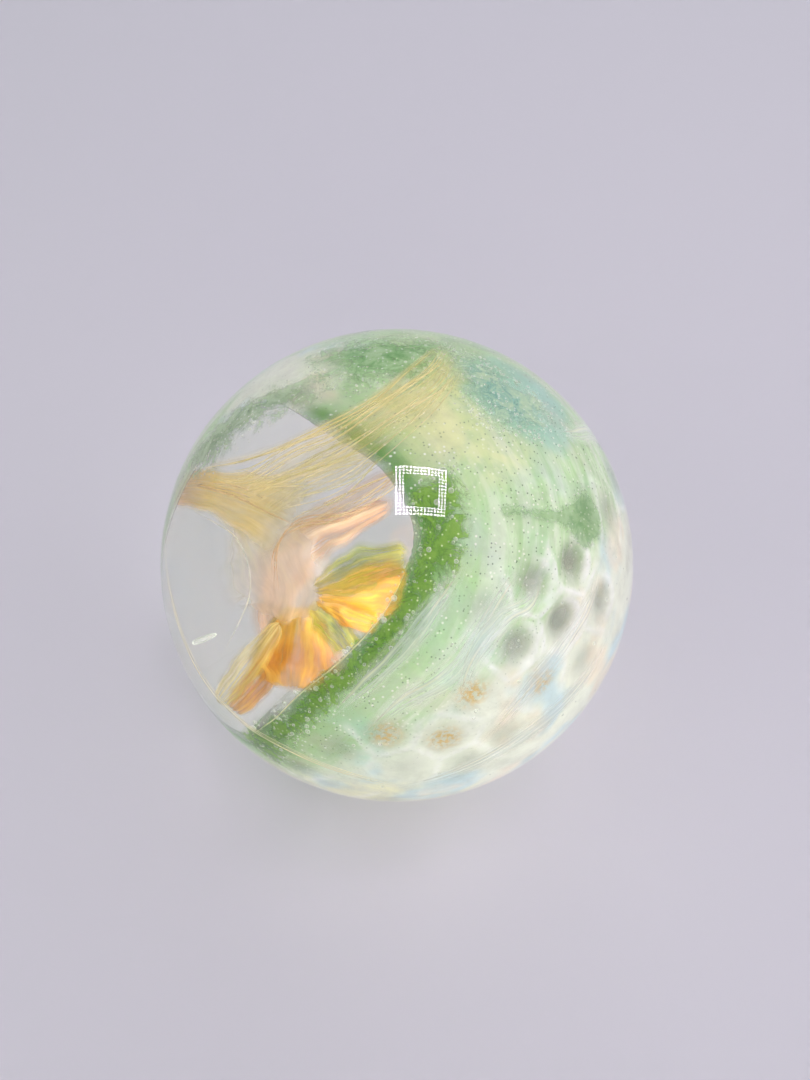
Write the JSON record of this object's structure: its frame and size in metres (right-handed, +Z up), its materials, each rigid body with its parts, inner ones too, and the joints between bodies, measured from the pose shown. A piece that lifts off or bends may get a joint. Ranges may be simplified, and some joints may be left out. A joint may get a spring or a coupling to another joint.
{
  "type": "art glass ball",
  "caption": "Solid clear glass ball with coloured glass veils and enamel swirls inside, ground flat underneath so that it stands still on a bench.",
  "frame": {"origin": "centre of the ground flat that the ball stands on", "axes": "+Z straight up from the flat through the ball's centre; -Y is the front, where the large clear window is, to the left"},
  "size_m": [0.06, 0.06, 0.0579],
  "materials": {
    "clear_glass": "fire-polished clear glass",
    "mint_enamel_glass": "seedy mint enamel glass",
    "opal_glass": "translucent opal white glass",
    "dot_glass": "clear glass dots",
    "honey_glass": "honey amber glass dots",
    "green_frit_glass": "dark green frit glass with seed bubbles",
    "teal_frit_glass": "teal frit glass with sparkling seeds",
    "yellow_glass": "striated yellow glass",
    "cream_glass": "milky cream glass veil",
    "amber_glass": "striated amber to orange glass"
  },
  "bodies": {
    "root": {"clear_casing": "clear_glass", "clear_core": "clear_glass", "mint_frit_field": "mint_enamel_glass", "opal_white_field": "opal_glass", "clear_dots": "dot_glass", "amber_dots": "honey_glass", "green_frit_band": "green_frit_glass", "left_green_swirl": "green_frit_glass", "top_green_swirl": "green_frit_glass", "green_comma": "green_frit_glass", "back_green_swirl": "green_frit_glass", "teal_swirl": "teal_frit_glass", "yellow_ribbon_1": "yellow_glass", "yellow_ribbon_2": "yellow_glass", "yellow_ribbon_3": "yellow_glass", "opal_wisp_1": "opal_glass", "opal_wisp_2": "opal_glass", "opal_wisp_3": "opal_glass", "opal_wisp_4": "opal_glass", "opal_wisp_5": "opal_glass", "opal_wisp_6": "opal_glass", "amber_neck": "amber_glass", "cream_veil": "cream_glass", "orange_fold": "amber_glass", "amber_petal_1": "amber_glass", "amber_petal_2": "amber_glass", "amber_petal_3": "amber_glass", "amber_petal_4": "amber_glass", "amber_petal_5": "amber_glass", "amber_petal_6": "amber_glass", "amber_petal_7": "amber_glass", "amber_petal_8": "amber_glass", "yellow_strand_1": "yellow_glass", "yellow_strand_2": "yellow_glass", "yellow_strand_3": "yellow_glass"}
  },
  "joints": []
}
